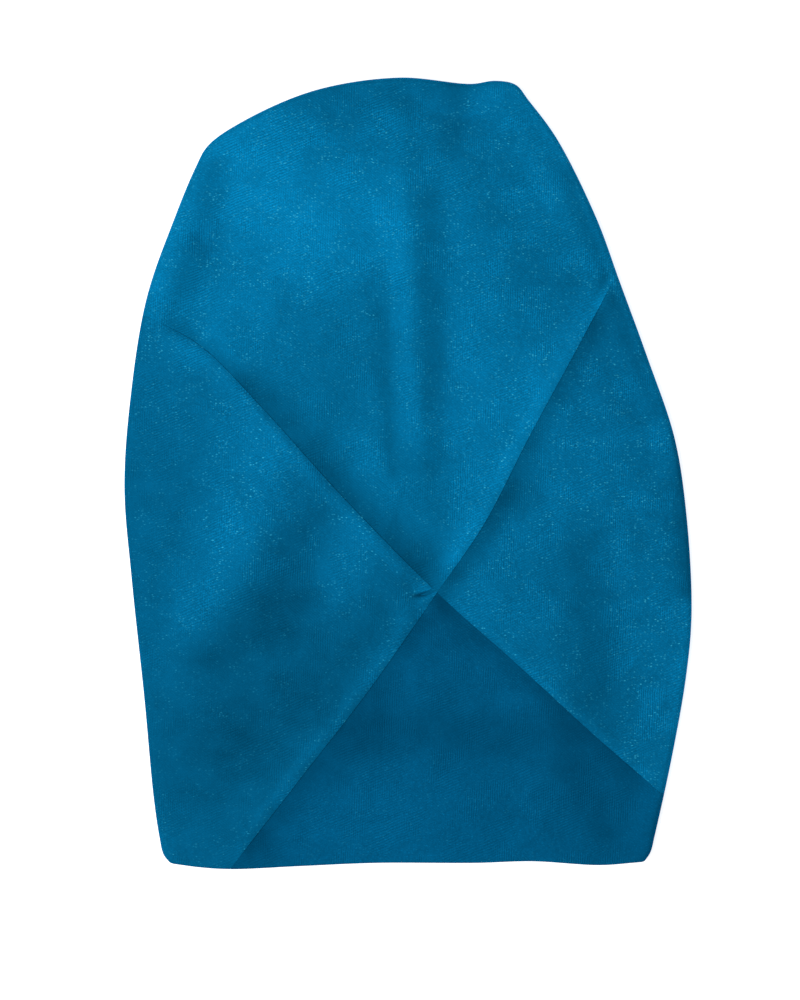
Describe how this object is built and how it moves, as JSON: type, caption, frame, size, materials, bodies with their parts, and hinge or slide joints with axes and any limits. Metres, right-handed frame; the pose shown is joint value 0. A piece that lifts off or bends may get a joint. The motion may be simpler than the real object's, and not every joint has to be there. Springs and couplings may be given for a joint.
{
  "type": "pre-tied bandana",
  "caption": "Soft satin pre-tied bandana cap lying flat, with wrapped front panels crossing in an X above the brow and an open mouth at the hem.",
  "frame": {"origin": "under the middle of the cap's outline, on the surface that its back lies on", "axes": "+Y towards the crown's top, +X towards the right side as seen from the front, +Z out of the front"},
  "size_m": [0.2835, 0.396, 0.0241],
  "materials": {
    "crown_satin": "fine satin twill with a soft sheen and tiny pale sparkles",
    "wrap_satin": "the same satin, doubled, with rolled folded edges",
    "brow_satin": "the same satin over the brow, smoother and a little darker",
    "back_satin": "the same satin, plain, lying on the surface"
  },
  "bodies": {
    "root": {"back_panel": "back_satin", "brow_panel": "brow_satin", "right_wrap": "wrap_satin", "crown_panel": "crown_satin", "left_wrap": "wrap_satin"}
  },
  "joints": []
}
